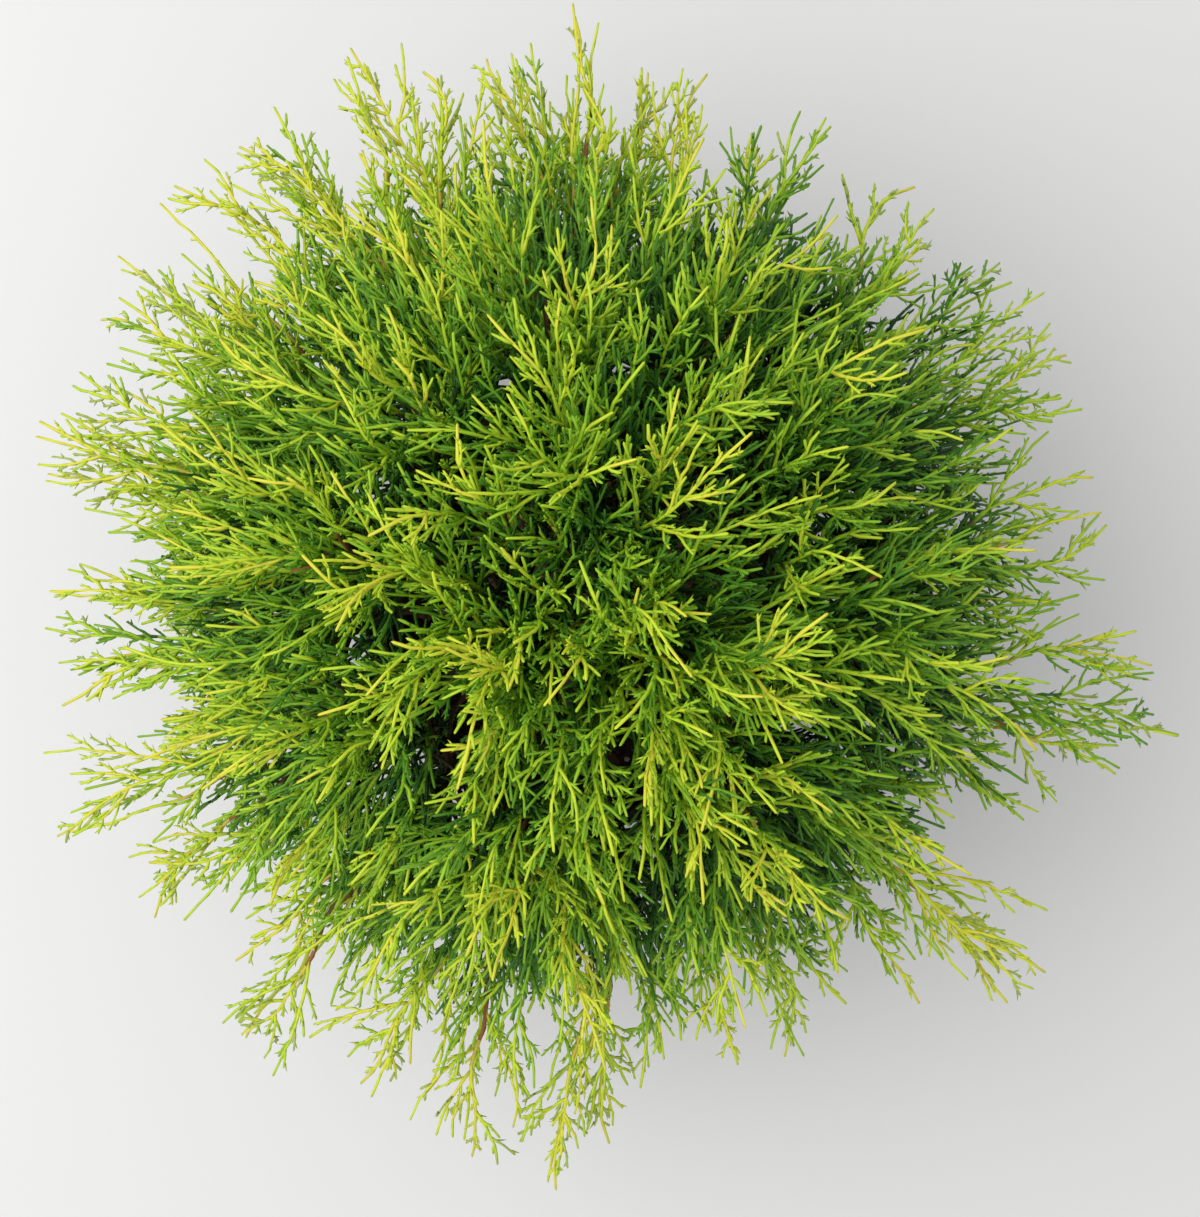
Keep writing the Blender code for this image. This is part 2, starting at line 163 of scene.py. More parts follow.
# Foliage colours are plain, and are dealt out by spray.
LEAF = {
    "straw": (0.600, 0.470, 0.070),
    "gold": (0.660, 0.640, 0.050),
    "yellow": (0.560, 0.660, 0.034),
    "yellow_lime": (0.440, 0.610, 0.028),
    "lime": (0.320, 0.520, 0.022),
    "lime_green": (0.215, 0.420, 0.018),
    "grass": (0.132, 0.315, 0.014),
    "mid_green": (0.072, 0.215, 0.012),
    "green": (0.038, 0.138, 0.011),
    "deep_green": (0.017, 0.072, 0.008),
    # shade_green is painted shade: a near-black green for the sprays deepest and lowest in the crown and for inner
    # twiglets
    "shade_green": (0.007, 0.030, 0.005),
    "olive_tip": (0.370, 0.470, 0.085),
    "rust": (0.300, 0.120, 0.040),
    "twig": (0.130, 0.060, 0.028),
    "dead": (0.050, 0.030, 0.015),
}
LEAF_ORDER = list(LEAF)
LEAF_INDEX = {name: i for i, name in enumerate(LEAF_ORDER)}
leaf_materials = []
for name in LEAF_ORDER:
    woody = name in ("rust", "twig", "dead")
    leaf_materials.append(principled("leaf_" + name if not woody else "wood_" + name, LEAF[name],
                                     0.80 if woody else 0.50, 0.25 if woody else 0.28))

# --------------------------------------------------- the crown's sizes (m)
CROWN_Z = 0.2150
CROWN_R_SIDE, CROWN_R_TOP = 0.1800, 0.1860
DROOP, DROOP_FROM, DROOP_SPAN = 0.0450, 0.0850, 0.1200
SKIRT_INNER, SHOULDER_INNER, TOP_INNER = 0.064, 0.056, 0.050
CORNER = 3.8

# name, azimuths, tips as (azimuth, reach, height)
SKIRT = (
    ("skirt_e", 331.0, 356.0, ((347.0, .243, .195), (353.2, .222, .220), (341.5, .226, .180), (334.6, .199, .200))),
    ("skirt_ene", 356.0, 378.0, ((359.8, .185, .225), (368.2, .210, .195), (373.5, .203, .220))),
    ("skirt_ne_low", 18.0, 37.0, ((23.0, .202, .215), (27.1, .216, .190), (34.0, .217, .210))),
    ("skirt_ne", 37.0, 57.0, ((39.4, .211, .205), (48.6, .204, .220), (51.7, .213, .185))),
    ("skirt_nne", 57.0, 79.0, ((63.0, .209, .215), (70.6, .199, .175), (77.4, .214, .205))),
    ("skirt_n", 79.0, 105.3, ((83.8, .212, .200), (91.6, .230, .215), (96.2, .226, .190), (100.9, .215, .222))),
    ("skirt_nnw", 105.3, 131.5, ((107.7, .218, .215), (113.6, .243, .190), (122.8, .230, .218), (127.9, .228, .205))),
    ("skirt_nw", 131.5, 153.0, ((135.3, .232, .212), (144.1, .235, .195), (150.4, .229, .185))),
    ("skirt_wnw", 153.0, 172.0, ((156.1, .226, .190), (162.2, .229, .212), (167.1, .223, .200))),
    ("skirt_w", 172.0, 197.0, ((179.3, .212, .222), (183.1, .221, .190), (191.5, .215, .205))),
    ("skirt_wsw", 197.0, 220.5, ((204.1, .231, .212), (210.8, .208, .190), (216.2, .224, .165))),
    ("skirt_sw", 220.5, 241.0, ((225.6, .204, .195), (231.9, .230, .170), (238.2, .193, .205))),
    ("skirt_ssw", 241.0, 264.0, ((244.6, .218, .185), (248.9, .197, .215), (258.0, .234, .175), (261.7, .214, .200))),
    ("skirt_s", 264.0, 285.0, ((266.7, .242, .180), (272.0, .226, .165), (275.8, .199, .190), (281.6, .180, .205))),
    ("skirt_sse", 285.0, 306.0, ((287.9, .194, .200), (292.9, .204, .175), (302.3, .194, .190))),
    ("skirt_se", 306.0, 331.0, ((309.1, .209, .200), (315.9, .236, .185), (320.6, .234, .208))),
)
# name, azimuths, tips as (azimuth, elevation, radius)
SHOULDER = (
    ("shoulder_ne", 14.0, 49.0, ((22.0, 33.0, .196), (38.4, 45.0, .207), (45.0, 32.0, .192))),
    ("shoulder_nne", 49.0, 82.0, ((57.0, 34.0, .197), (70.0, 47.0, .200), (76.0, 33.0, .203))),
    ("shoulder_n", 82.0, 115.0, ((89.7, 50.0, .208), (102.5, 34.0, .211), (110.0, 47.0, .196))),
    ("shoulder_nw", 115.0, 150.0, ((122.0, 35.0, .202), (134.0, 50.0, .204), (145.0, 36.0, .198))),
    ("shoulder_w", 150.0, 192.0, ((158.0, 36.0, .203), (176.0, 46.0, .206), (186.0, 33.0, .201))),
    ("shoulder_sw", 192.0, 232.0, ((200.0, 34.0, .205), (206.0, 48.0, .208), (224.0, 38.0, .198))),
    ("shoulder_s", 232.0, 280.0, ((240.0, 37.0, .200), (256.0, 49.0, .203), (272.0, 35.0, .206))),
    ("shoulder_se", 280.0, 333.0, ((290.0, 36.0, .201), (309.0, 47.0, .206), (324.0, 34.0, .204))),
    ("shoulder_e", 333.0, 374.0, ((341.0, 34.0, .204), (352.0, 45.0, .205), (366.0, 37.0, .199))),
)
TOP = (
    ("top_n", 20.0, 140.0, ((70.0, 77.0, .204), (45.0, 68.0, .199), (112.0, 69.0, .196))),
    ("top_sw", 140.0, 260.0, ((200.0, 76.0, .199), (165.0, 68.0, .196), (236.0, 67.0, .194))),
    ("top_se", 260.0, 380.0, ((322.0, 78.0, .202), (285.0, 69.0, .196), (356.0, 67.0, .198))),
)


def skirt_floor(az):
    return -29.5 + 2.0 * math.sin(math.radians(2 * az + 60))


def skirt_shoulder(az):
    return 24.0 + 3.5 * math.sin(math.radians(3 * az + 40))


def shoulder_top(az):
    return 59.0 + 2.5 * math.sin(math.radians(2 * az + 110))


def zenith(az):
    return 89.3


def unit(az, el):
    a, e = math.radians(az), math.radians(el)
    return np.array((math.cos(e) * math.cos(a), math.cos(e) * math.sin(a), math.sin(e)))


def droop_at(reach):
    return DROOP * (max(0.0, reach - DROOP_FROM) / DROOP_SPAN) ** 2


def crown_point(direction, radius):
    p = np.array((0.0, 0.0, CROWN_Z)) + direction * radius
    p[2] -= droop_at(math.hypot(p[0], p[1]))
    return p


def crown_radius(el):
    s = max(0.0, math.sin(math.radians(el)))
    return CROWN_R_SIDE + (CROWN_R_TOP - CROWN_R_SIDE) * s * s


def normalise(v):
    n = np.linalg.norm(v, axis=-1, keepdims=True)
    return v / np.maximum(n, 1e-12)


# ------------------------------------------------------------- cord building
class Cords:
    """Collects tapered three-sided cords and turns them into meshes."""

    def __init__(self):
        self.groups = []            # (centres, radii, frame normals, material per segment, mass)

    def add(self, centres, radii, normals, materials, mass):
        self.groups.append((centres, radii, normals, materials, mass))

    def arrays(self, mass):
        verts, faces, mats = [], [], []
        start = 0
        for centres, radii, normals, materials, owner in self.groups:
            pick = owner == mass
            if not pick.any():
                continue
            c, r, n, m = centres[pick], radii[pick], normals[pick], materials[pick]
            count, rings = c.shape[0], c.shape[1]
            if rings > 2:
                # the last ring sits close to the end, so that the tip is blunt
                last = c[:, -1] - c[:, -2]
                c = c.copy()
                c[:, -2] = c[:, -1] - normalise(last) * np.minimum(
                    0.0008, 0.5 * np.linalg.norm(last, axis=1, keepdims=True))
            t = np.empty_like(c)
            t[:, 1:-1] = c[:, 2:] - c[:, :-2]
            t[:, 0] = c[:, 1] - c[:, 0]
            t[:, -1] = c[:, -1] - c[:, -2]
            t = normalise(t)
            side = normalise(np.cross(t, n[:, None, :]))
            up = np.cross(side, t)
            body = rings - 1
            ring_verts = np.empty((count, body, 3, 3))
            for k in range(3):
                turn = 2 * math.pi * k / 3 + (np.arange(body) % 2) * (math.pi / 3)
                ca, sa = np.cos(turn)[None, :, None], np.sin(turn)[None, :, None]
                ring_verts[:, :, k] = c[:, :body] + (side[:, :body] * ca + up[:, :body] * sa) * r[:, :body, None]
            block = np.concatenate([ring_verts.reshape(count, body * 3, 3), c[:, -1:, :]], axis=1)
            per = body * 3 + 1
            tris, tri_seg = [(0, 2, 1)], [0]
            for j in range(body - 1):
                a, b = 3 * j, 3 * (j + 1)
                for k in range(3):
                    k1 = (k + 1) % 3
                    if j % 2 == 0:
                        # the upper ring is turned forward by a sixth
                        tris += [(a + k, a + k1, b + k), (a + k1, b + k1, b + k)]
                    else:
                        # the upper ring is turned back by a sixth
                        tris += [(a + k, b + k1, b + k), (a + k, a + k1, b + k1)]
                    tri_seg += [j, j]
            a = 3 * (body - 1)
            for k in range(3):
                tris.append((a + k, a + (k + 1) % 3, per - 1))
                tri_seg.append(body - 1)
            tris = np.array(tris)
            tri_seg = np.array(tri_seg)
            f = (tris[None] + (np.arange(count) * per)[:, None, None] + start).reshape(-1, 3)
            verts.append(block.reshape(-1, 3))
            faces.append(f)
            mats.append(m[:, tri_seg].reshape(-1))
            start += count * per
        return np.concatenate(verts), np.concatenate(faces), np.concatenate(mats)


def mesh_object(name, verts, faces, mats, materials, smooth=True):
    """A mesh object from arrays, with only the materials it uses."""
    used = np.unique(mats)
    remap = np.zeros(int(used.max()) + 1, dtype=np.int32)
    remap[used] = np.arange(len(used))
    mesh = bpy.data.meshes.new(name)
    mesh.vertices.add(len(verts))
    mesh.vertices.foreach_set("co", verts.astype(np.float32).ravel())
    mesh.loops.add(len(faces) * 3)
    mesh.loops.foreach_set("vertex_index", faces.astype(np.int32).ravel())
    mesh.polygons.add(len(faces))
    mesh.polygons.foreach_set("loop_start", np.arange(0, len(faces) * 3, 3, dtype=np.int32))
    mesh.polygons.foreach_set("material_index", remap[mats].astype(np.int32))
    mesh.polygons.foreach_set("use_smooth", np.full(len(faces), smooth, dtype=bool))
    for i in used:
        mesh.materials.append(materials[int(i)])
    mesh.update(calc_edges=True)
    mesh.validate()
    obj = bpy.data.objects.new(name, mesh)
    bpy.context.scene.collection.objects.link(obj)
    return obj


# -------------------------------------------------------- the crown's layout
class Mass:
    pass


def layout():
    masses = []
    for table, inner, floor, ceiling, kind in (
            (SKIRT, SKIRT_INNER, skirt_floor, skirt_shoulder, "skirt"),
            (SHOULDER, SHOULDER_INNER, skirt_shoulder, shoulder_top, "shoulder"),
            (TOP, TOP_INNER, shoulder_top, zenith, "top")):
        for name, az0, az1, tips in table:
            m = Mass()
            m.name, m.kind, m.inner = name, kind, inner
            m.az0, m.az1 = az0, az1
            m.floor, m.ceiling = floor, ceiling
            az_mid = (az0 + az1) / 2
            m.axis = unit(az_mid, (floor(az_mid) + ceiling(az_mid)) / 2)
            m.start = np.array((0, 0, CROWN_Z)) + m.axis * inner
            m.tips = []
            for tip in tips:
                if kind == "skirt":
                    az, reach, height = tip
                    a = math.radians(az)
                    m.tips.append(np.array((reach * math.cos(a), reach * math.sin(a), height)))
                else:
                    m.tips.append(crown_point(unit(tip[0], tip[1]), tip[2]))
            masses.append(m)
    return masses


masses = layout()
LEADERS = {"skirt": 20, "shoulder": 25, "top": 32}
THICKER = {"skirt_nnw": 10, "skirt_nw": 9, "skirt_wnw": 7, "skirt_n": 8, "skirt_w": 4, "skirt_wsw": 2, "skirt_e": 2}


# how far the sides of the crown stand out, where they differ from the rest
PUSH = {"skirt_nnw": 1.10, "skirt_nw": 1.10, "skirt_wnw": 1.08, "skirt_n": 1.10, "skirt_w": 1.04,
        "skirt_sse": 0.86, "skirt_s": 0.92, "skirt_nne": 1.03}
INNER = {"skirt": 11, "shoulder": 6, "top": 0}
# long, nearly bare shoots that stand out of the outline: mass, end
WHIPS = (("skirt_w", (-0.2190, 0.0030, 0.186)), ("skirt_wsw", (-0.2160, -0.0965, 0.170)),
         ("skirt_n", (-0.0070, 0.2330, 0.222)), ("skirt_s", (-0.0175, -0.2390, 0.176)),
         ("skirt_e", (0.2355, -0.0550, 0.200)), ("skirt_wnw", (-0.2230, 0.0650, 0.196)),
         ("skirt_nw", (-0.1700, 0.1560, 0.214)), ("skirt_nnw", (-0.0960, 0.2140, 0.214)),
         ("skirt_nne", (0.0930, 0.1900, 0.214)), ("skirt_ne", (0.1680, 0.1260, 0.205)),
         ("skirt_ene", (0.2020, 0.0340, 0.214)), ("skirt_se", (0.1800, -0.1480, 0.190)),
         ("skirt_sw", (-0.1430, -0.1790, 0.176)), ("skirt_ssw", (-0.0520, -0.2230, 0.172)))


def inner_targets(m, count):
    """Ends of short shoots that close the crown behind its surface."""
    points = []
    for _ in range(count):
        az = rng.uniform(m.az0, m.az1)
        lo, hi = m.floor(az), m.ceiling(az)
        # mostly where the skirt and the shoulder part
        if m.kind == "skirt":
            el = rng.uniform(hi - 20.0, hi + 5.0) if rng.random() < 0.6 else rng.uniform(lo + 5.0, hi - 15.0)
        else:
            el = rng.uniform(lo - 4.0, lo + 14.0)
        points.append(crown_point(unit(az, el), crown_radius(el) * rng.uniform(0.70, 0.92)))
    return points


def surface_targets(m, count):
    """Evenly scattered ends for the leading shoots of one plume."""
    points = list(m.tips)
    while len(points) < count:
        best, best_gap = None, -1.0
        for _ in range(14):
            az = rng.uniform(m.az0, m.az1)
            lo, hi = m.floor(az), m.ceiling(az)
            # even over the sphere between the two levels
            s = rng.uniform(math.sin(math.radians(lo)), math.sin(math.radians(hi)))
            el = math.degrees(math.asin(s))
            edge = abs((az - (m.az0 + m.az1) / 2) / ((m.az1 - m.az0) / 2))
            r = crown_radius(el) * (1.0 - 0.07 * edge ** 3) * rng.uniform(0.90, 1.04) * PUSH.get(m.name, 1.0)
            p = crown_point(unit(az, el), r)
            gap = min(np.linalg.norm(p - q) for q in points)
            if gap > best_gap:
                best, best_gap = p, gap
        points.append(best)
    return points[:count]


def grow_leaders():
    """Paths of the leading shoots, as rows of 4-point curves."""
    rows = []
    for index, m in enumerate(masses):
        ends = surface_targets(m, LEADERS[m.kind] + THICKER.get(m.name, 0))
        ends = [(tip, 1 if i < len(m.tips) else 0) for i, tip in enumerate(ends)]
        ends += [(tip, 3) for tip in inner_targets(m, INNER[m.kind])]
        ends += [(np.array(end), 2) for name, end in WHIPS if name == m.name]
        for tip, habit in ends:
            rel = tip - np.array((0, 0, CROWN_Z))
            el = math.degrees(math.asin(rel[2] / np.linalg.norm(rel)))
            out = np.array((rel[0], rel[1], 0.0))
            out = out / max(1e-9, np.linalg.norm(out))
            az = math.atan2(out[1], out[0])
            if el > 45:
                az += rng.uniform(-1.5, 1.5) * (el - 45) / 45
            az += math.radians(rng.normal(0, 17))
            pitch = math.radians(np.interp(el, (-30, 0, 30, 60, 90), (-52, -30, -6, 18, 52)) + rng.normal(0, 13))
            t_tip = np.array((math.cos(pitch) * math.cos(az), math.cos(pitch) * math.sin(az), math.sin(pitch)))
            off = np.linalg.norm(normalise(rel) - m.axis)
            along = np.clip(rng.uniform(0.05, 0.55) * (1.0 - 1.3 * off), 0.02, 0.5)
            start = m.start + m.axis * (np.linalg.norm(rel) - m.inner) * along
            span = np.linalg.norm(tip - start)
            d0 = normalise(m.axis * 0.55 + normalise(tip - start) * 0.8 + np.array((0, 0, 0.35)))
            p1 = start + d0 * span * 0.36
            p2 = tip - t_tip * span * 0.44
            if habit == 2:
                t_tip = normalise(normalise(tip - start) + np.array((0, 0, -0.12)))
                p2 = tip - t_tip * span * 0.40
            if habit == 3:
                t_tip = normalise(normalise(rel) + np.array((0, 0, -0.10)) + rng.normal(0, 0.50, 3))
                p2 = tip - t_tip * span * 0.36
            rows.append((index, habit, start, p1, p2, tip))
    return rows


def bezier(p0, p1, p2, p3, t):
    s = 1 - t
    return (p0 * (s ** 3)[..., None] + p1 * (3 * s * s * t)[..., None]
            + p2 * (3 * s * t * t)[..., None] + p3 * (t ** 3)[..., None])


print("layout ready")
leaders = grow_leaders()
cords = Cords()
stats = {}


def count_tris(rings):
    return 1 + 6 * (rings - 2) + 3


def outward(points):
    """Direction away from the crown's middle, with some lift."""
    rel = points - np.array((0, 0, CROWN_Z - 0.02))
    return normalise(normalise(rel) + np.array((0, 0, 0.35)))


def tone_at(points, bias):
    """How golden a spray is, with painted light and shade: 0 deep in the crown, about 1 at its surface. Deep and low
    sprays are darker partly as the plant's own greener inner foliage and partly as painted shade; the side and shade
    terms are painted light and shade.
    """
    rel = points - np.array((0, 0, CROWN_Z))
    reach = np.hypot(points[:, 0], points[:, 1])
    lift = rel.copy()
    lift[:, 2] += DROOP * (np.maximum(0, reach - DROOP_FROM) / DROOP_SPAN) ** 2
    r = np.linalg.norm(lift, axis=1)
    el = np.degrees(np.arcsin(np.clip(lift[:, 2] / np.maximum(r, 1e-9), -1, 1)))
    az = np.arctan2(points[:, 1], points[:, 0])
    # depth: the inner crown is darker, partly its own greener foliage and partly painted shade
    depth = np.interp(r, (0.07, 0.11, 0.145, 0.175, 0.20, 0.24), (0.0, 0.08, 0.32, 0.64, 0.80, 0.82))
    # level: the lower sprays are darker, partly their own greener foliage and partly painted shade under the crown
    level = np.interp(el, (-40, -15, 5, 30, 90), (-0.34, -0.22, -0.06, 0.03, 0.04))
    # painted light and shade: the side of the crown towards +X and +Y, away from the key light, is painted greener and
    # darker, and the far left, towards the light, more golden
    side = 0.06 * np.cos(az - math.radians(150)) + 0.06 * np.cos(az - math.radians(278)) + 0.02 * np.cos(2 * (az - math.radians(100)))
    # painted shade: a darker band on the +X, +Y side of the crown, away from the light, fading out towards the middle
    turn = np.degrees(np.arctan2(np.sin(az - math.radians(55)), np.cos(az - math.radians(55))))
    shade = 0.055 * np.exp(-(turn / 38.0) ** 2) * np.clip(reach / 0.06, 0, 1)
    return depth + level + side + bias + 0.03 - shade


# the lowest steps are near-black: dead is the plant's own spent wood, shade_green is painted shade
TONE_STEPS = np.array((0.06, 0.17, 0.29, 0.40, 0.50, 0.60, 0.71, 0.84))
LEAF_TONES = np.array([LEAF_INDEX[n] for n in (
    "shade_green", "deep_green", "green", "mid_green", "grass", "lime_green", "lime", "yellow_lime", "yellow")])
AXIS_TONES = np.array([LEAF_INDEX[n] for n in (
    "dead", "shade_green", "deep_green", "mid_green", "lime_green", "lime", "yellow_lime", "yellow", "gold")])


def leaf_colour(tone):
    return LEAF_TONES[np.searchsorted(TONE_STEPS, tone)]


def axis_colour(tone):
    return AXIS_TONES[np.searchsorted(TONE_STEPS, tone)]


# ---- limbs: each plume's own limb, running on from its bough
limb_rows = []
for index, m in enumerate(masses):
    far = m.start + m.axis * (0.085 if m.kind != "skirt" else 0.080)
    mid = (m.start + far) / 2 + np.array((0, 0, 0.004))
    limb_rows.append((index, m.start - m.axis * 0.004, m.start + m.axis * 0.02, mid + m.axis * 0.01, far))

# ---- leading shoots
n_lead = len(leaders)
L_mass = np.array([row[0] for row in leaders])
L_habit = np.array([row[1] for row in leaders])
P = [np.array([row[2 + k] for row in leaders]) for k in range(4)]
FINE = 97
tt = np.linspace(0, 1, FINE)
path = bezier(P[0][:, None], P[1][:, None], P[2][:, None], P[3][:, None], np.broadcast_to(tt, (n_lead, FINE)))
# a slow wander, so that no shoot is a perfect arc
phase = rng.uniform(0, 2 * math.pi, (n_lead, 3, 2))
wander = (np.sin(tt[None, :, None] * 7.0 + phase[:, None, :, 0]) * 0.0022
          + np.sin(tt[None, :, None] * 17.0 + phase[:, None, :, 1]) * 0.0010)
wander *= (np.sin(np.pi * tt) ** 0.5)[None, :, None]
path = path + wander
seg = np.linalg.norm(np.diff(path, axis=1), axis=2)
arc = np.concatenate([np.zeros((n_lead, 1)), np.cumsum(seg, axis=1)], axis=1)
length = arc[:, -1]
L_bias = rng.normal(0, 0.105, n_lead)


def along(which, dist):
    """Points and tangents on leading shoots at distances from their roots."""
    a = arc[which]
    idx = np.clip((a < dist[:, None]).sum(axis=1) - 1, 0, FINE - 2)
    rows = np.arange(len(which))
    a0, a1 = a[rows, idx], a[rows, idx + 1]
    f = ((dist - a0) / np.maximum(a1 - a0, 1e-9))[:, None]
    p0, p1 = path[which, idx], path[which, idx + 1]
    return p0 * (1 - f) + p1 * f, normalise(p1 - p0)


def shoot_curves(base, tangent, lateral, size, angle0, angle1, steps, sag, wobble, up_turn=0.0):
    """Curved side shoots: they leave at angle0 and swing forward to angle1."""
    n = len(base)
    t = (np.arange(steps - 1) + 0.5) / (steps - 1)
    ang = np.radians(angle0[:, None] * (1 - t) + angle1[:, None] * t)
    d = tangent[:, None] * np.cos(ang)[..., None] + lateral[:, None] * np.sin(ang)[..., None]
    d[:, :, 2] += (-sag * t[None, :] + up_turn * (1 - t)[None, :])
    d = normalise(d + rng.normal(0, wobble, d.shape))
    out = np.empty((n, steps, 3))
    out[:, 0] = base
    out[:, 1:] = base[:, None] + np.cumsum(d * (size / (steps - 1))[:, None, None], axis=1)
    return out


def bulged(radii):
    """Radii swell and pinch along a cord, as its scale leaves do."""
    ripple = 1.0 + 0.10 * ((np.arange(radii.shape[1]) % 2) * 2 - 1)
    return radii * ripple[None]


# each leading shoot's own cord
steps = 24
dist = np.linspace(0, 1, steps)[None, :] * length[:, None]
flat_which = np.repeat(np.arange(n_lead), steps)
pts, _ = along(flat_which, dist.ravel())
centres = pts.reshape(n_lead, steps, 3)
radii = np.linspace(1.18, 0.62, steps)[None, :] * 0.001 * rng.uniform(0.92, 1.1, (n_lead, 1))
to_tip = length[:, None] - dist
tone = np.stack([tone_at(centres[:, j], L_bias) for j in range(steps)], axis=1) + 0.10
mats = axis_colour(tone)
# woody at the root, then straw and gold
frac = dist / length[:, None]
mats = np.where(frac < 0.30, LEAF_INDEX["twig"], mats)
mats = np.where((frac >= 0.30) & (frac < 0.42) & (tone > 0.45), LEAF_INDEX["rust"], mats)
mats = np.where((frac >= 0.42) & (frac < 0.52) & (tone > 0.55), LEAF_INDEX["straw"], mats)
normals = outward(centres[:, steps // 2])
cords.add(centres, bulged(radii), normals, mats[:, :-1], L_mass)
stats["leaders"] = n_lead * count_tris(steps)

# limbs
limb_t = np.linspace(0, 1, 14)
lp = [np.array([row[1 + k] for row in limb_rows]) for k in range(4)]
limb_path = bezier(lp[0][:, None], lp[1][:, None], lp[2][:, None], lp[3][:, None],
                   np.broadcast_to(limb_t, (len(limb_rows), 14)))
limb_path[:, 1:-1] += rng.normal(0, 0.0008, limb_path[:, 1:-1].shape)
limb_r = np.linspace(1.7, 0.9, 14)[None] * 0.001 * np.ones((len(limb_rows), 1))
cords.add(limb_path, limb_r, outward(limb_path[:, 7]),
          np.full((len(limb_rows), 13), LEAF_INDEX["twig"]), np.arange(len(limb_rows)))

# ---- spent twiglets on the shaded inner parts of the shoots: dead brown ones, and near-black green ones that are painted shade
which, dist = [], []
for i in range(n_lead):
    d = 0.08 * length[i] + rng.uniform(0, 0.004)
    while d < 0.46 * length[i]:
        which.append(i)
        dist.append(d)
        d += rng.uniform(0.0050, 0.0095)
which, dist = np.array(which), np.array(dist)
base, tangent = along(which, dist)
# only where the crown's surface hides them
deep = np.linalg.norm(base - np.array((0, 0, CROWN_Z)), axis=1) < 0.118
which, dist, base, tangent = which[deep], dist[deep], base[deep], tangent[deep]
spin = rng.normal(0, 1, base.shape)
lateral = normalise(spin - tangent * (spin * tangent).sum(axis=1, keepdims=True))
size = rng.uniform(0.010, 0.026, len(which))
curve = shoot_curves(base, tangent, lateral, size, rng.uniform(35, 70, len(which)),
                     rng.uniform(15, 60, len(which)), 3, 0.15, 0.15)
radii = np.linspace(0.80, 0.45, 3)[None] * 0.001 * rng.uniform(0.8, 1.1, (len(which), 1))
# dead brown is the twiglets' own colour; shade_green and deep_green here are painted shade
dead_and_shade_tint = np.where(rng.random(len(which)) < 0.45, LEAF_INDEX["dead"],
                 np.where(rng.random(len(which)) < 0.5, LEAF_INDEX["shade_green"], LEAF_INDEX["deep_green"]))
cords.add(curve, radii, normalise(np.cross(tangent, lateral)), np.repeat(dead_and_shade_tint[:, None], 2, axis=1), L_mass[which])
stats["twiglets"] = len(which) * count_tris(3)

# ---- side shoots on the leading shoots
SIDE_STEP = 0.0088
which, dist, order = [], [], []
for i in range(n_lead):
    d = 0.22 * length[i] + rng.uniform(0, SIDE_STEP)
    k = int(rng.integers(0, 2))
    stop = rng.uniform(*((0.012, 0.026), (0.018, 0.032), (0.045, 0.060), (0.008, 0.014))[L_habit[i]])
    while d < length[i] - stop:
        which.append(i)
        dist.append(d)
        order.append(k)
        k += 1
        # sparser in the bare inner part
        d += SIDE_STEP * rng.uniform(0.75, 1.25) * (1.8 if d < 0.38 * length[i] else 1.0)
which, dist, order = np.array(which), np.array(dist), np.array(order)
base, tangent = along(which, dist)
to_tip = length[which] - dist - np.where(L_habit[which] == 2, 0.045, 0.0)
size = np.minimum(0.62 * to_tip + 0.007, 0.066) * rng.uniform(0.55, 1.15, len(which))
normal = outward(base)
roll = np.radians(rng.normal(0, 36, len(which)) + np.where(rng.random(len(which)) < 0.25,
                                                           rng.uniform(-75, 75, len(which)), 0.0))
side = normalise(np.cross(tangent, normal)) * np.where(order % 2 == 0, 1.0, -1.0)[:, None]
face = normalise(np.cross(side, tangent))
lateral = side * np.cos(roll)[:, None] + face * np.sin(roll)[:, None]
A_bias = L_bias[which] + rng.normal(0, 0.085, len(which))
A_tone = tone_at(base + tangent * (size * 0.5)[:, None], A_bias)

S_base, S_tan, S_lat, S_size, S_tone, S_mass, S_norm, S_path = [], [], [], [], [], [], [], []
for lo, hi, steps in ((0.0, 0.014, 4), (0.014, 0.022, 6), (0.022, 0.032, 8), (0.032, 0.044, 10), (0.044, 0.090, 13)):
    pick = np.where((size >= lo) & (size < hi))[0]
    if not len(pick):
        continue
    curve = shoot_curves(base[pick], tangent[pick], lateral[pick], size[pick],
                         rng.uniform(28, 50, len(pick)), rng.uniform(-2, 18, len(pick)), steps,
                         0.16, 0.075)
    radii = np.linspace(0.86, 0.56, steps)[None] * 0.001 * rng.uniform(0.9, 1.08, (len(pick), 1))
    plane = normalise(np.cross(tangent[pick], lateral[pick]))
    mats = np.repeat(axis_colour(A_tone[pick] + 0.04)[:, None], steps - 1, axis=1)
    leafy = leaf_colour(A_tone[pick] + 0.03)
    mats[:, int(steps * 0.62):] = leafy[:, None]
    cords.add(curve, bulged(radii), plane, mats, L_mass[which[pick]])
    stats["side"] = stats.get("side", 0) + len(pick) * count_tris(steps)
    # where the branchlets sit on these side shoots
    seg_len = size[pick] / (steps - 1)
    for row, i in enumerate(pick):
        d = rng.uniform(0.0025, 0.0050)
        k = int(rng.integers(0, 2))
        bare = min(0.0165, 0.38 * size[i]) * rng.uniform(0.45, 1.35)
        while d < size[i] - bare:
            j = min(int(d / seg_len[row]), steps - 2)
            f = d / seg_len[row] - j
            S_base.append(curve[row, j] * (1 - f) + curve[row, j + 1] * f)
            S_tan.append(curve[row, j + 1] - curve[row, j])
            S_lat.append((1.0 if k % 2 == 0 else -1.0))
            S_norm.append(plane[row])
            S_size.append(size[i] - d)
            S_tone.append(A_tone[i])
            S_mass.append(L_mass[which[i]])
            k += 1
            d += rng.uniform(0.0035, 0.0055) * (1.0 if A_tone[i] > 0.36 else 1.7)

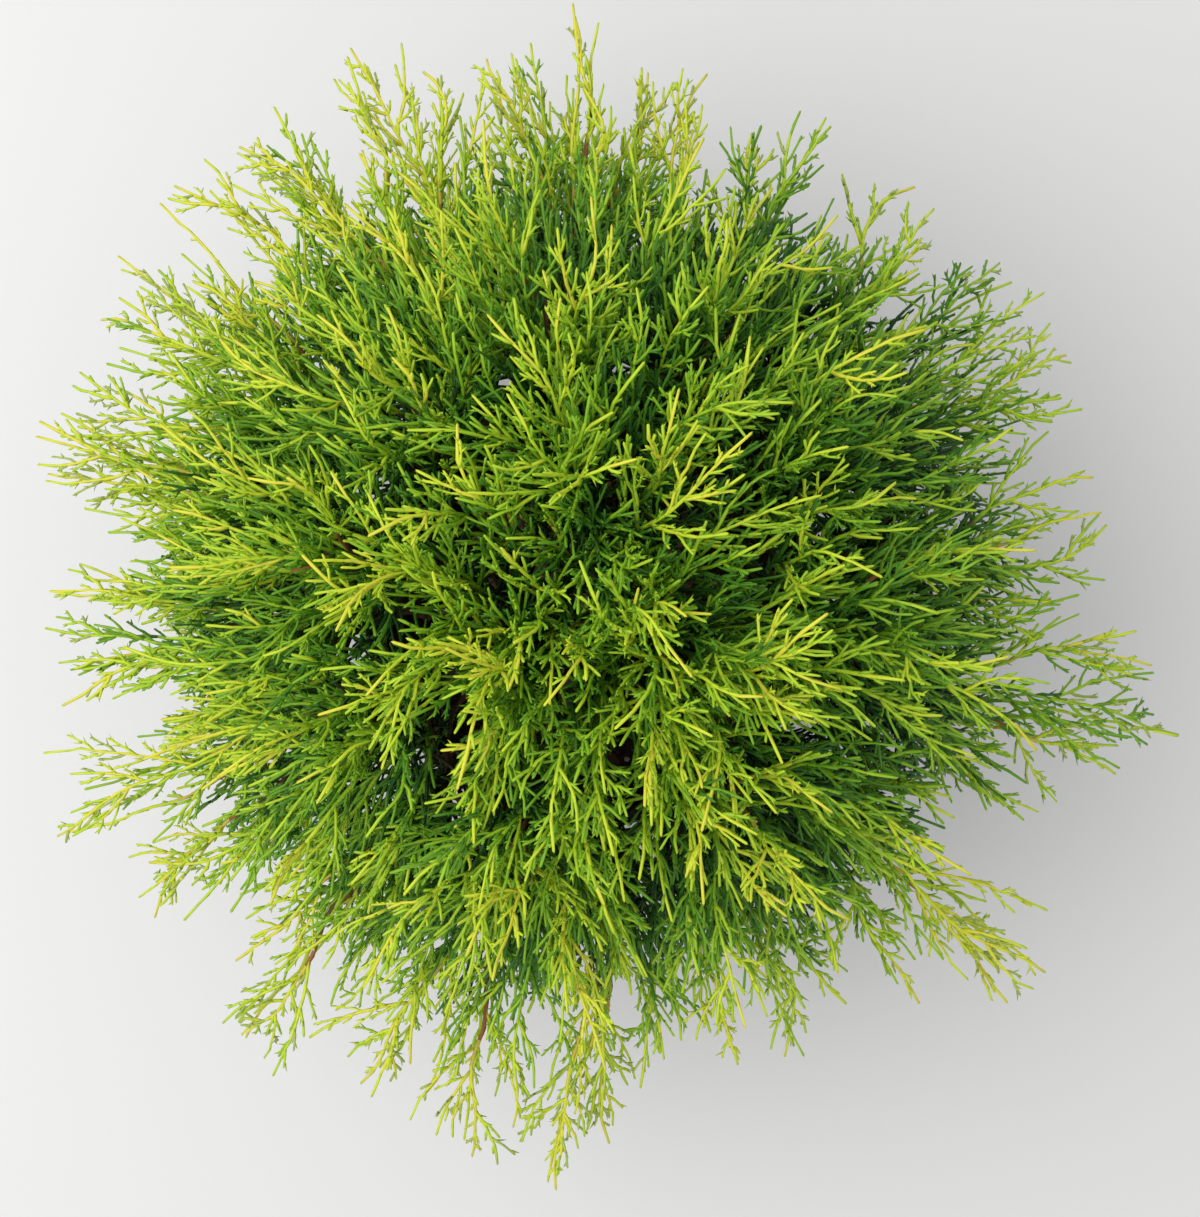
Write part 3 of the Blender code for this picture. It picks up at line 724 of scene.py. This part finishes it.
# the leading shoots bear short branchlets of their own near their ends
for i in range(n_lead):
    d = 0.45 * length[i] + rng.uniform(0, 0.004)
    k = int(rng.integers(0, 2))
    pts_d = []
    whip = L_habit[i] == 2
    while d < length[i] - (0.018 if whip else 0.010):
        pts_d.append(d)
        d += rng.uniform(0.0042, 0.0068) * (1.9 if whip else 1.0)
    if not pts_d:
        continue
    pts_d = np.array(pts_d)
    p, t = along(np.full(len(pts_d), i), pts_d)
    nrm = outward(p)
    for a in range(len(pts_d)):
        S_base.append(p[a])
        S_tan.append(t[a])
        S_lat.append(1.0 if (k + a) % 2 == 0 else -1.0)
        S_norm.append(nrm[a])
        S_size.append(min(length[i] - pts_d[a], 0.001 if whip else 0.014))
        S_tone.append(float(tone_at(p[a:a + 1], L_bias[i:i + 1])[0]))
        S_mass.append(L_mass[i])

S_base, S_tan, S_norm = np.array(S_base), normalise(np.array(S_tan)), np.array(S_norm)
S_lat, S_size, S_tone, S_mass = np.array(S_lat), np.array(S_size), np.array(S_tone), np.array(S_mass)
print("branchlets", len(S_base))

# ---- branchlets
nb = len(S_base)
b_size = np.minimum(0.42 * S_size + 0.0034, 0.0128) * rng.uniform(0.50, 1.20, nb)
b_side = normalise(np.cross(S_tan, S_norm)) * S_lat[:, None]
b_roll = np.radians(rng.normal(0, 26, nb))
b_lat = b_side * np.cos(b_roll)[:, None] + S_norm * np.sin(b_roll)[:, None]
b_tone = S_tone + rng.normal(0, 0.045, nb)
b_mat = leaf_colour(b_tone)
fringe = (np.hypot(S_base[:, 0], S_base[:, 1]) > 0.185) & (b_tone > 0.35) & (rng.random(nb) < 0.35)
b_mat = np.where(fringe, LEAF_INDEX["olive_tip"], b_mat)

T_base, T_tan, T_lat, T_norm, T_size, T_mat, T_mass = [], [], [], [], [], [], []
for lo, hi, steps in ((0.0, 0.0055, 3), (0.0055, 0.0095, 4), (0.0095, 0.040, 5)):
    pick = np.where((b_size >= lo) & (b_size < hi))[0]
    if not len(pick):
        continue
    curve = shoot_curves(S_base[pick], S_tan[pick], b_lat[pick], b_size[pick],
                         rng.uniform(26, 42, len(pick)), rng.uniform(6, 24, len(pick)), steps, 0.10, 0.06)
    radii = np.linspace(0.70, 0.50, steps)[None] * 0.001 * rng.uniform(0.88, 1.10, (len(pick), 1))
    mats = np.repeat(b_mat[pick][:, None], steps - 1, axis=1)
    cords.add(curve, bulged(radii), normalise(np.cross(S_tan[pick], b_lat[pick])), mats, S_mass[pick])
    stats["branchlets"] = stats.get("branchlets", 0) + len(pick) * count_tris(steps)
    # buds on the longer ones
    if steps >= 4:
        for j in range(1, steps - 1):
            keep = rng.random(len(pick)) < (0.70 if S_tone[pick].mean() > 0.2 else 0.5)
            keep &= S_tone[pick] > 0.12
            sub = np.where(keep)[0]
            f = rng.uniform(-0.25, 0.25, len(sub))[:, None]
            T_base.append(curve[sub, j] * (1 - abs(f)) + np.where(f > 0, curve[sub, j + 1], curve[sub, j - 1]) * abs(f))
            t = normalise(curve[sub, j + 1] - curve[sub, j - 1])
            T_tan.append(t)
            T_lat.append(np.where((j + pick[sub]) % 2 == 0, 1.0, -1.0))
            T_norm.append(normalise(np.cross(S_tan[pick[sub]], b_lat[pick[sub]])))
            T_size.append(rng.uniform(0.0022, 0.0046, len(sub)))
            T_mat.append(b_mat[pick[sub]])
            T_mass.append(S_mass[pick[sub]])

# ---- buds: the shortest side shoots, one tapering point each
T_base, T_tan, T_norm = np.concatenate(T_base), np.concatenate(T_tan), np.concatenate(T_norm)
T_lat, T_size = np.concatenate(T_lat), np.concatenate(T_size)
T_mat, T_mass = np.concatenate(T_mat), np.concatenate(T_mass)
nt = len(T_base)
t_side = normalise(np.cross(T_tan, T_norm)) * T_lat[:, None]
t_roll = np.radians(rng.normal(0, 30, nt))
t_lat = t_side * np.cos(t_roll)[:, None] + T_norm * np.sin(t_roll)[:, None]
ang = np.radians(rng.uniform(26, 44, nt))
t_dir = normalise(T_tan * np.cos(ang)[:, None] + t_lat * np.sin(ang)[:, None])
curve = np.stack([T_base, T_base + t_dir * T_size[:, None]], axis=1)
radii = np.stack([np.full(nt, 0.00066), np.full(nt, 0.0001)], axis=1) * rng.uniform(0.85, 1.1, (nt, 1))
cords.add(curve, radii, T_norm, T_mat[:, None], T_mass)
stats["buds"] = nt * 4
print("triangles", stats, sum(stats.values()), "buds", nt, "side shoots", len(which))

WOODY = [LEAF_INDEX[name] for name in ("rust", "twig", "dead")]


def part_of(verts, faces, mats, pick):
    """Only the picked faces, with the points they use."""
    used, renumbered = np.unique(faces[pick], return_inverse=True)
    return verts[used], renumbered.reshape(-1, 3), mats[pick]


foliage, wood, wood_start = [], [], 0
for index, m in enumerate(masses):
    verts, faces, mats = cords.arrays(index)
    woody = np.isin(mats, WOODY)
    w_verts, w_faces, w_mats = part_of(verts, faces, mats, woody)
    wood.append((w_verts, w_faces + wood_start, w_mats))
    wood_start += len(w_verts)
    obj = mesh_object("sprays_" + m.name, *part_of(verts, faces, mats, ~woody), leaf_materials)
    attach(obj, "root")
    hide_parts("foliage_" + m.name)
    foliage.append(obj)
twigs = mesh_object("twigs", *[np.concatenate([part[k] for part in wood]) for k in range(3)], leaf_materials)
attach(twigs, "root")

# ------------------------------------------------------ stem, boughs and bark
SOIL_TOP, SOIL_CROWN = 0.1400, 0.0025
STEM_FOOT_R, STEM_R, STEM_TOP_R, STEM_FLARE_H, STEM_TOP_Z = 0.0150, 0.0098, 0.0048, 0.016, 0.2420
STEM_LEAN, STEM_LEAN_AZ = math.radians(2.5), math.radians(200.0)
BOUGH_BASE_R, BOUGH_END_R = 0.0027, 0.0017


def stem_axis(z):
    rise = z - SOIL_TOP
    shift = math.tan(STEM_LEAN) * rise + 0.0016 * math.sin(rise * 38.0)
    return np.array((shift * math.cos(STEM_LEAN_AZ), shift * math.sin(STEM_LEAN_AZ), z))


def stem_radius(z):
    foot = SOIL_TOP + SOIL_CROWN + 0.0003
    t = (z - foot) / (STEM_TOP_Z - foot)
    flare = (STEM_FOOT_R - STEM_R) * math.exp(-((z - foot) / (STEM_FLARE_H * 0.45)))
    return STEM_R + (STEM_TOP_R - STEM_R) * max(0.0, t) + flare


def bark_tube(verts, faces, points, radii, sides, depth, grain, flute=0.0):
    """A closed tube whose surface is fissured along its length."""
    first = len(verts)
    reach = 0.0
    side = None
    for i, p in enumerate(points):
        t = points[min(i + 1, len(points) - 1)] - points[max(i - 1, 0)]
        t = t / np.linalg.norm(t)
        if side is None:
            side = np.cross(t, (0.31, 0.87, 0.38))
        side = side - t * side.dot(t)
        side = side / np.linalg.norm(side)
        other = np.cross(t, side)
        if i:
            reach += np.linalg.norm(p - points[i - 1])
        for k in range(sides):
            a = 2 * math.pi * k / sides
            d = side * math.cos(a) + other * math.sin(a)
            sample = Vector((math.cos(a) * 3.0 * grain, math.sin(a) * 3.0 * grain, reach * 95.0 + first * 0.37))
            relief = noise.fractal(sample, 0.9, 2.1, 4) * depth
            fissure = -abs(noise.noise(sample * 1.9 + Vector((5, 9, 2)))) * depth * 1.1
            swell = 1.0 + flute * math.exp(-i / 5.0) * (math.cos(5 * a + 0.6) + 0.5 * math.cos(3 * a + 1.9))
            verts.append(p + d * (radii[i] * swell + relief + fissure))
    rings = len(points)
    for i in range(rings - 1):
        for k in range(sides):
            n = (k + 1) % sides
            a, b = first + i * sides, first + (i + 1) * sides
            faces.append((a + k, a + n, b + n))
            faces.append((a + k, b + n, b + k))
    for i, turn in ((0, 1), (rings - 1, -1)):
        middle = len(verts)
        verts.append(points[i])
        for k in range(sides):
            n = (k + 1) % sides
            a = first + i * sides
            faces.append((middle, a + n, a + k) if turn == 1 else (middle, a + k, a + n))


def bark_material():
    mat = principled("bark_fibrous", (0.16, 0.08, 0.045), 0.85, 0.3)
    n = Nodes(mat)
    strips = n.noise(420.0, 5.0, 0.6, stretch=(1.0, 1.0, 0.16), distortion=0.4)
    blotch = n.noise(70.0, 3.0)
    colour = n.ramp(strips, [(0.30, (0.050, 0.024, 0.014)), (0.48, (0.150, 0.070, 0.038)),
                             (0.62, (0.250, 0.130, 0.075)), (0.78, (0.340, 0.215, 0.140))])
    colour = n.mix(n.ramp(blotch, [(0.42, 0.0), (0.66, 0.55)]), colour, (0.200, 0.160, 0.120))
    n.link(colour, n.shader.inputs["Base Color"])
    n.link(n.bump(strips, 0.7, 0.0012), n.shader.inputs["Normal"])
    return mat


bark = bark_material()
verts, faces = [], []
foot = SOIL_TOP + SOIL_CROWN
heights = [foot - 0.006 + (STEM_TOP_Z - foot + 0.006) * i / 62 for i in range(63)]
bark_tube(verts, faces, [stem_axis(z) for z in heights],
          [stem_radius(max(z, foot)) for z in heights], 40, 0.00085, 1.25, 0.085)
stem = mesh_object("bark_stem", np.array(verts), np.array(faces), np.zeros(len(faces), dtype=int), [bark])
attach(stem, "root")
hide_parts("stem")

verts, faces = [], []
levels = {"skirt": (0.1580, 0.1820, 0.1700, 0.1940), "shoulder": (0.2050, 0.2135, 0.2220),
          "top": (0.2300, 0.2335, 0.2370)}
seen = {"skirt": 0, "shoulder": 0, "top": 0}
for m in masses:
    order_no = seen[m.kind]
    seen[m.kind] += 1
    z = levels[m.kind][order_no % len(levels[m.kind])]
    flat = np.array((m.axis[0], m.axis[1], 0.0))
    flat = flat / np.linalg.norm(flat)
    begin = stem_axis(z) + flat * (stem_radius(z - BOUGH_BASE_R) - 0.0015)
    end = m.start + m.axis * 0.0005
    span = np.linalg.norm(end - begin)
    c1 = begin + normalise(flat * 0.9 + np.array((0, 0, 0.25))) * span * 0.34
    c2 = end - m.axis * span * 0.36
    count = max(10, int(span / 0.0028))
    t = np.linspace(0, 1, count)
    pts = bezier(begin[None], c1[None], c2[None], end[None], t)
    bend = np.sin(t * math.pi)[:, None] * np.stack(
        [np.sin(t * 9 + order_no), np.cos(t * 8 + 2.0 * order_no), np.sin(t * 7 + 3.0 * order_no)], axis=1) * 0.0007
    pts = pts + bend
    collar = 1.0 + 0.45 * np.exp(-t * span / 0.004)
    bark_tube(verts, faces, list(pts), list((BOUGH_BASE_R + (BOUGH_END_R - BOUGH_BASE_R) * t) * collar),
              12, 0.00030, 0.55)
boughs = mesh_object("bark_boughs", np.array(verts), np.array(faces), np.zeros(len(faces), dtype=int), [bark])
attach(boughs, "root")
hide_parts(*["bough_" + m.name for m in masses])


# ------------------------------------------------------------------- the pot
def lathe(profile, sides):
    """A closed turned body; the profile starts and ends on the axis."""
    verts, faces, rings = [], [], []
    for radius, height in profile:
        if radius < 1e-9:
            rings.append([len(verts)])
            verts.append((0.0, 0.0, height))
        else:
            first = len(verts)
            for k in range(sides):
                a = 2 * math.pi * k / sides
                verts.append((radius * math.cos(a), radius * math.sin(a), height))
            rings.append(list(range(first, first + sides)))
    for low, high in zip(rings, rings[1:]):
        for k in range(sides):
            n = (k + 1) % sides
            if len(low) == 1:
                faces.append((low[0], high[n], high[k]))
            elif len(high) == 1:
                faces.append((low[k], low[n], high[0]))
            else:
                faces.append((low[k], low[n], high[n], high[k]))
    return verts, faces


def pot_material():
    mat = principled("pot_black_plastic", (0.030, 0.032, 0.033), 0.46, 0.5)
    n = Nodes(mat)
    dust = n.noise(26.0, 6.0, 0.62)
    streak = n.noise(90.0, 3.0, 0.5, stretch=(1.0, 1.0, 0.12))
    base = n.ramp(dust, [(0.40, (0.020, 0.021, 0.022)), (0.62, (0.034, 0.035, 0.035)), (0.80, (0.070, 0.066, 0.058))])
    base = n.mix(n.ramp(streak, [(0.55, 0.0), (0.80, 0.35)]), base, (0.095, 0.088, 0.076))
    n.link(base, n.shader.inputs["Base Color"])
    n.link(n.ramp(dust, [(0.35, 0.38), (0.75, 0.62)]), n.shader.inputs["Roughness"])
    n.link(n.bump(n.noise(900.0, 2.0), 0.12, 0.0004), n.shader.inputs["Normal"])
    return mat


def build_pot():
    z_band = 0.135
    profile = [(0.0, 0.0016), (0.0300, 0.0016), (0.0320, 0.0006), (0.0340, 0.0), (0.0660, 0.0),
               (0.0690, 0.0), (0.0705, 0.0005), (0.0716, 0.0015), (0.0720, 0.0030)]
    for i in range(1, 10):
        z = 0.0030 + (z_band - 0.0030) * i / 10
        profile.append((0.0720 + 0.0185 * i / 10, z))
        if i in (3, 8):
            # a shallow stiffening step around the wall
            profile.append((0.0720 + 0.0185 * i / 10 + 0.0009, z + 0.0012))
    profile += [(0.0905, z_band - 0.0004), (0.0912, z_band), (0.0938, z_band + 0.0006), (0.0945, z_band + 0.0018),
                (0.0949, 0.1440), (0.0951, 0.1500), (0.0955, 0.1512), (0.0955, 0.1530), (0.0950, 0.1543),
                (0.0941, 0.1550), (0.0930, 0.1548), (0.0923, 0.1538), (0.0921, 0.1500), (0.0917, 0.1400),
                (0.0905, 0.1378), (0.0885, 0.1342), (0.0790, 0.0700), (0.0702, 0.0040), (0.0690, 0.0030),
                (0.0, 0.0030)]
    verts, faces = lathe(profile, 132)
    mesh = bpy.data.meshes.new("pot_body")
    mesh.from_pydata(verts, [], faces)
    mesh.update()
    body = bpy.data.objects.new("pot_body", mesh)
    bpy.context.scene.collection.objects.link(body)
    mesh.materials.append(pot_material())
    hole_verts, hole_faces = [], []
    for i in range(6):
        a0 = 2 * math.pi * (i + 0.5) / 6
        cx, cy = 0.048 * math.cos(a0), 0.048 * math.sin(a0)
        first, n = len(hole_verts), 24
        for z in (-0.01, 0.01):
            for k in range(n):
                a = 2 * math.pi * k / n + a0 + 0.11
                hole_verts.append((cx + 0.0055 * math.cos(a), cy + 0.0055 * math.sin(a), z))
        hole_faces.append(tuple(first + k for k in reversed(range(n))))
        hole_faces.append(tuple(first + n + k for k in range(n)))
        for k in range(n):
            k1 = (k + 1) % n
            hole_faces.append((first + k, first + k1, first + n + k1, first + n + k))
    cut_mesh = bpy.data.meshes.new("drain_tool")
    cut_mesh.from_pydata(hole_verts, [], hole_faces)
    tool = bpy.data.objects.new("drain_tool", cut_mesh)
    bpy.context.scene.collection.objects.link(tool)
    cut = body.modifiers.new("drain", 'BOOLEAN')
    cut.operation, cut.solver, cut.object = 'DIFFERENCE', 'EXACT', tool
    bpy.context.view_layer.update()
    done = bpy.data.meshes.new_from_object(body.evaluated_get(bpy.context.evaluated_depsgraph_get()))
    body.modifiers.clear()
    body.data = done
    bpy.data.objects.remove(tool, do_unlink=True)
    done.polygons.foreach_set("use_smooth", [True] * len(done.polygons))
    done.set_sharp_from_angle(angle=math.radians(38))
    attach(body, "root")
    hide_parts("pot")


build_pot()


# ------------------------------------------------------------------ the soil
def soil_material():
    mat = principled("potting_mix", (0.04, 0.026, 0.016), 0.95, 0.2)
    n = Nodes(mat)
    fine = n.noise(620.0, 5.0, 0.65)
    clumps = n.voronoi(240.0).outputs["Distance"]
    base = n.ramp(fine, [(0.30, (0.010, 0.006, 0.004)), (0.50, (0.034, 0.021, 0.013)),
                         (0.66, (0.072, 0.046, 0.028)), (0.82, (0.135, 0.095, 0.060))])
    n.link(base, n.shader.inputs["Base Color"])
    n.link(n.bump(clumps, 0.5, 0.0012, n.bump(fine, 0.8, 0.0010)), n.shader.inputs["Normal"])
    return mat


def build_soil():
    mats = [soil_material(), principled("chip_brown", (0.120, 0.062, 0.032), 0.88, 0.25),
            principled("chip_dark", (0.045, 0.026, 0.016), 0.92, 0.2),
            principled("grit_pale", (0.470, 0.440, 0.380), 0.85, 0.3)]
    verts, faces, which_mat = [], [], []
    sides, rings = 120, 34
    edge = 0.0876
    verts.append((0.0, 0.0, SOIL_TOP + SOIL_CROWN))
    for j in range(1, rings + 1):
        r = edge * j / rings
        for k in range(sides):
            a = 2 * math.pi * k / sides
            x, y = r * math.cos(a), r * math.sin(a)
            rough = noise.fractal(Vector((x * 150, y * 150, 0.3)), 0.9, 2.0, 5) * 0.0013
            z = SOIL_TOP + SOIL_CROWN * (1.0 - j / rings) + rough * min(1.0, (rings - j) / 3.0 + 0.3)
            verts.append((x, y, z))
    ring = [[1 + j * sides + k for k in range(sides)] for j in range(rings)]
    for r, z in ((edge, 0.1330), (0.0870, 0.1300), (0.0780, 0.0700), (0.0692, 0.0033)):
        ring.append(list(range(len(verts), len(verts) + sides)))
        for k in range(sides):
            a = 2 * math.pi * k / sides
            verts.append((r * math.cos(a), r * math.sin(a), z))
    for k in range(sides):
        n = (k + 1) % sides
        faces.append((0, ring[0][k], ring[0][n]))
        for low, high in zip(ring, ring[1:]):
            faces.append((low[k], high[k], high[n]))
            faces.append((low[k], high[n], low[n]))
    middle = len(verts)
    verts.append((0.0, 0.0, 0.0033))
    for k in range(sides):
        faces.append((middle, ring[-1][(k + 1) % sides], ring[-1][k]))
    which_mat += [0] * len(faces)
    # chips of bark and grains lying on the mix
    for i in range(620):
        r = 0.0155 + (edge - 0.019) * math.sqrt(rng.random())
        a = rng.uniform(0, 2 * math.pi)
        kind = rng.choice((0, 1, 2, 3), p=(0.42, 0.26, 0.25, 0.07))
        size = rng.uniform(0.0009, 0.0026) if kind != 3 else rng.uniform(0.0009, 0.0016)
        long, thin = (rng.uniform(1.2, 2.6), rng.uniform(0.35, 0.7)) if kind in (1, 2) else (1.1, 0.8)
        turn, tip = rng.uniform(0, math.pi), rng.normal(0, 0.3)
        c, s, ct, st = math.cos(turn), math.sin(turn), math.cos(tip), math.sin(tip)
        base_z = SOIL_TOP + SOIL_CROWN * (1 - r / edge) + size * thin * 0.25
        first = len(verts)
        corners = [(1, 0.1, 0), (0.35, 0.8, 0.1), (-0.5, 0.75, 0), (-1, -0.1, 0.1), (-0.4, -0.8, 0),
                   (0.5, -0.7, 0.1), (0.1, 0, 1), (0, 0.1, -1)]
        for u, v, w in corners:
            u, v, w = u * size * long * rng.uniform(0.75, 1.2), v * size * rng.uniform(0.75, 1.2), w * size * thin
            u, w = u * ct - w * st, u * st + w * ct
            verts.append((r * math.cos(a) + u * c - v * s, r * math.sin(a) + u * s + v * c, base_z + w))
        for k in range(6):
            n = (k + 1) % 6
            faces.append((first + k, first + n, first + 6))
            faces.append((first + n, first + k, first + 7))
            which_mat += [int(kind), int(kind)]
    obj = mesh_object("soil_surface", np.array(verts), np.array(faces), np.array(which_mat), mats, smooth=False)
    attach(obj, "root")
    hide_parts("soil")


build_soil()


# ------------------------------------------------------------ floor and light
def make_floor():
    mesh = bpy.data.meshes.new("floor")
    s = 60.0
    mesh.from_pydata([(-s, -s, 0), (s, -s, 0), (s, s, 0), (-s, s, 0)], [], [(0, 1, 2, 3)])
    obj = bpy.data.objects.new("floor", mesh)
    bpy.context.scene.collection.objects.link(obj)
    mat = principled("floor_white", (0.715, 0.714, 0.708), 0.42, 0.35)
    mesh.materials.append(mat)


make_floor()


def area_light(name, location, target, size, power, colour=(1, 1, 1)):
    data = bpy.data.lights.new(name, 'AREA')
    data.shape = 'DISK'
    data.size = size
    data.energy = power
    data.color = colour
    obj = bpy.data.objects.new(name, data)
    obj.location = location
    d = Vector(target) - Vector(location)
    obj.rotation_euler = d.to_track_quat('-Z', 'Y').to_euler()
    bpy.context.scene.collection.objects.link(obj)
    return obj


area_light("key", (-0.95, 0.14, 1.90), (-0.05, 0, 0.2), 2.0, 29.0, (1.0, 0.99, 0.975))
world = bpy.data.worlds.new("world")
bpy.context.scene.world = world
world.use_nodes = True
world.node_tree.nodes["Background"].inputs["Color"].default_value = (0.965, 0.975, 0.98, 1.0)
world.node_tree.nodes["Background"].inputs["Strength"].default_value = 0.74
